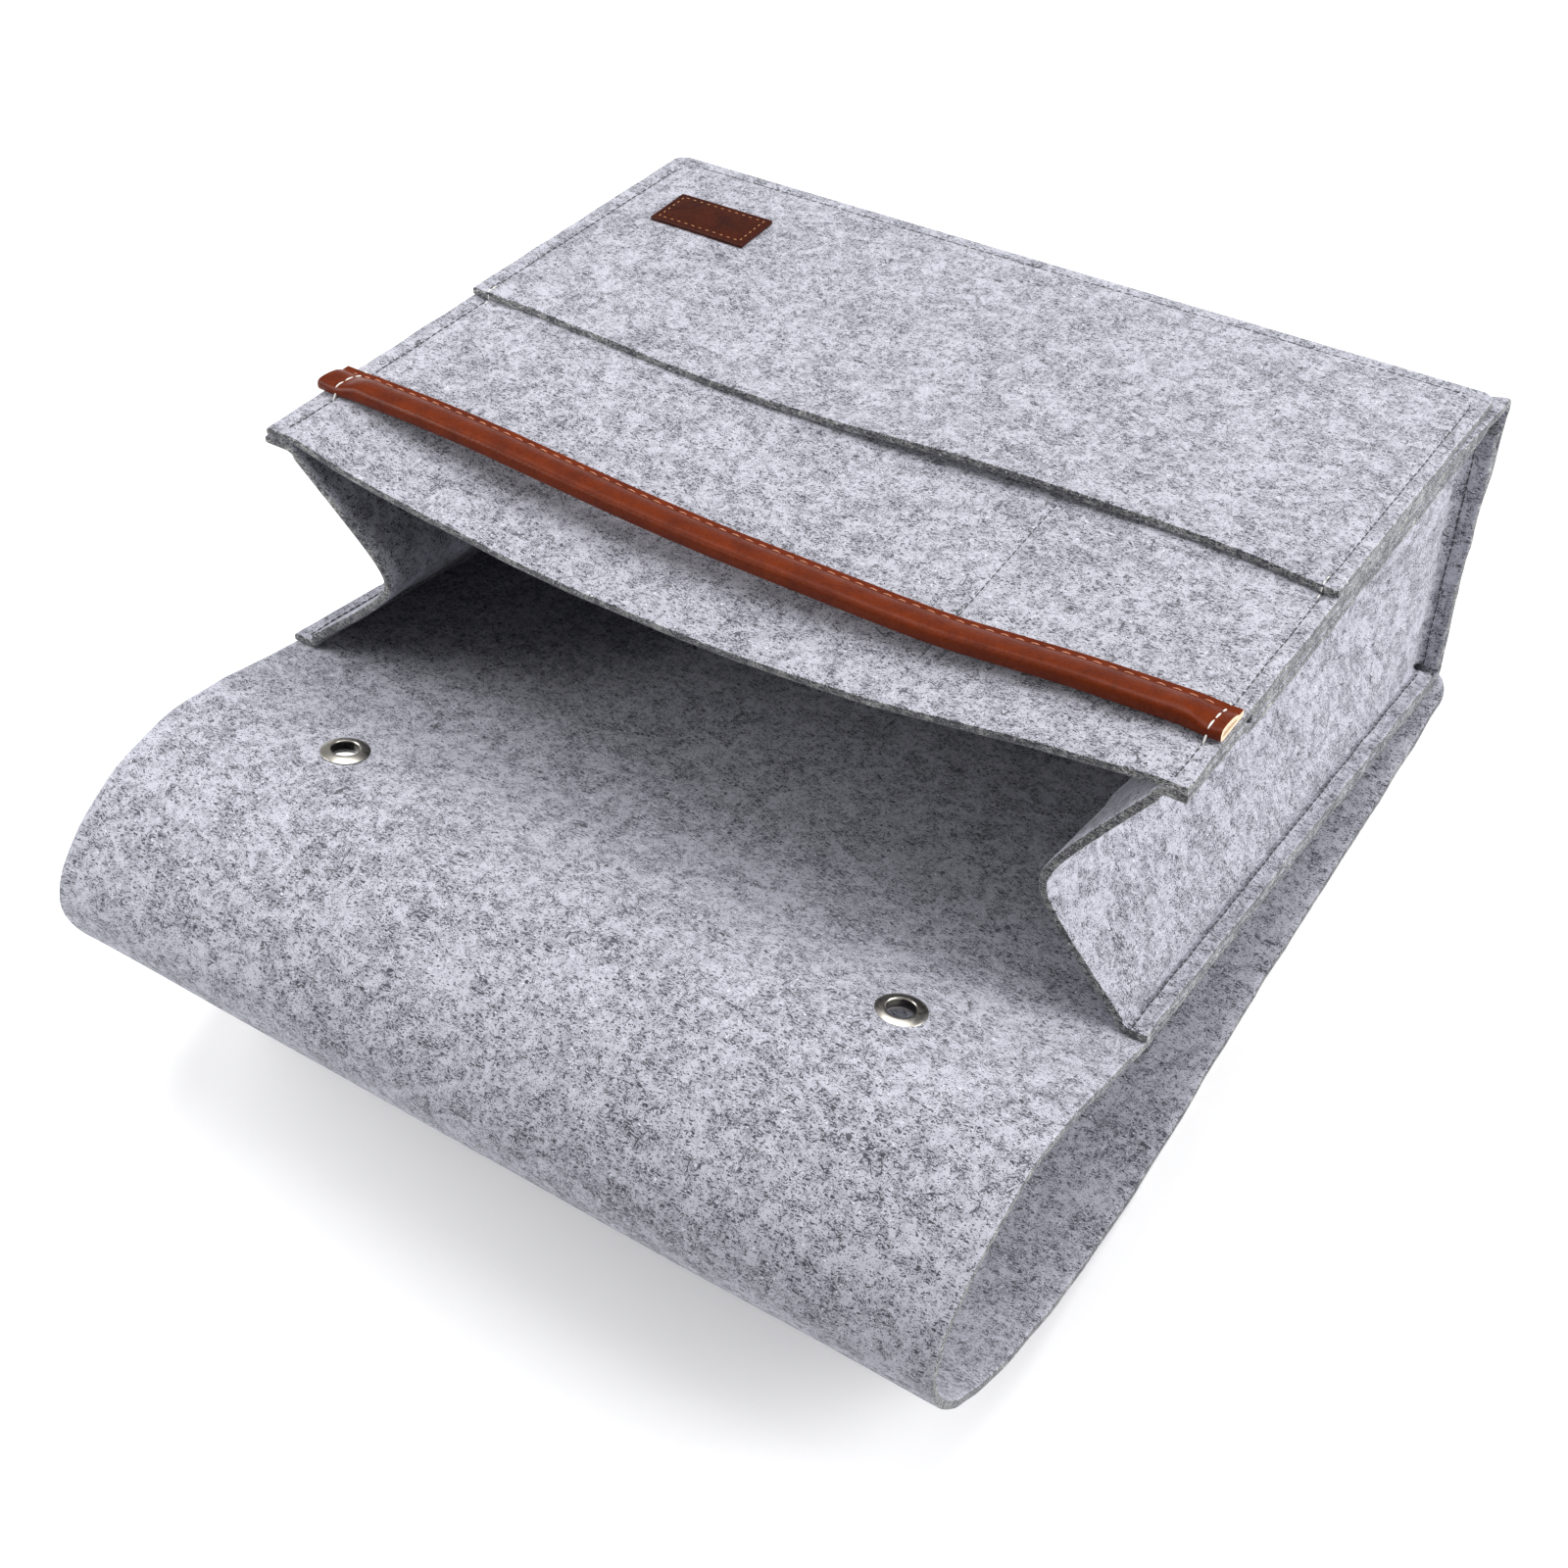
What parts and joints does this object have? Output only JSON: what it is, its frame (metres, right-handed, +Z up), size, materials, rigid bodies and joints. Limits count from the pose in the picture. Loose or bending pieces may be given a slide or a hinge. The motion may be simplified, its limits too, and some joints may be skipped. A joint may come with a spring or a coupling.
{
  "type": "bedside caddy",
  "caption": "Felt bedside caddy lying on its back: pleated pouch with outer and inner pockets, leather strap and patch, and a long eyeletted flap that folds under.",
  "frame": {"origin": "on the floor, under the middle of the part's box as it lies on its back", "axes": "+X to the right across the pouch, +Y from the mouth to the pouch bottom, +Z up"},
  "size_m": [0.326, 0.372, 0.1698],
  "materials": {
    "felt": "thick mottled felt",
    "strap_leather": "smooth tan leather",
    "patch_leather": "grained dark brown leather",
    "cotton": "cotton filler cord",
    "nickel": "polished nickel plate"
  },
  "bodies": {
    "pouch": {"back_panel": "felt", "bottom_panel": "felt", "left_gusset": "felt", "right_gusset": "felt", "flap_neck": "felt", "flap_crown": "felt", "flap_bend": "felt", "left_eyelet": "nickel", "right_eyelet": "nickel", "left_washer": "nickel", "right_washer": "nickel"},
    "front": {"front_panel": "felt", "front_pocket": "felt", "inner_pocket": "felt", "strap_cover": "strap_leather", "strap_core": "cotton", "patch": "patch_leather"},
    "flap": {"flap_tail": "felt"}
  },
  "joints": [
    {"name": "mouth_fold", "type": "hinge", "parent": "pouch", "child": "front", "pos_m": [0, 0.17997, 0.11232], "axis": [1, 0, 0], "range_deg": [-6, 15], "stiffness_Nm_per_rad": 2.5, "springref_deg": -3.96, "deforming": ["left_gusset", "right_gusset"]},
    {"name": "flap_fold", "type": "hinge", "parent": "flap", "child": "pouch", "pos_m": [0, -0.17097, 0.0454], "axis": [1, 0, 0], "range_deg": [0, 90], "deforming": ["flap_bend"]}
  ]
}
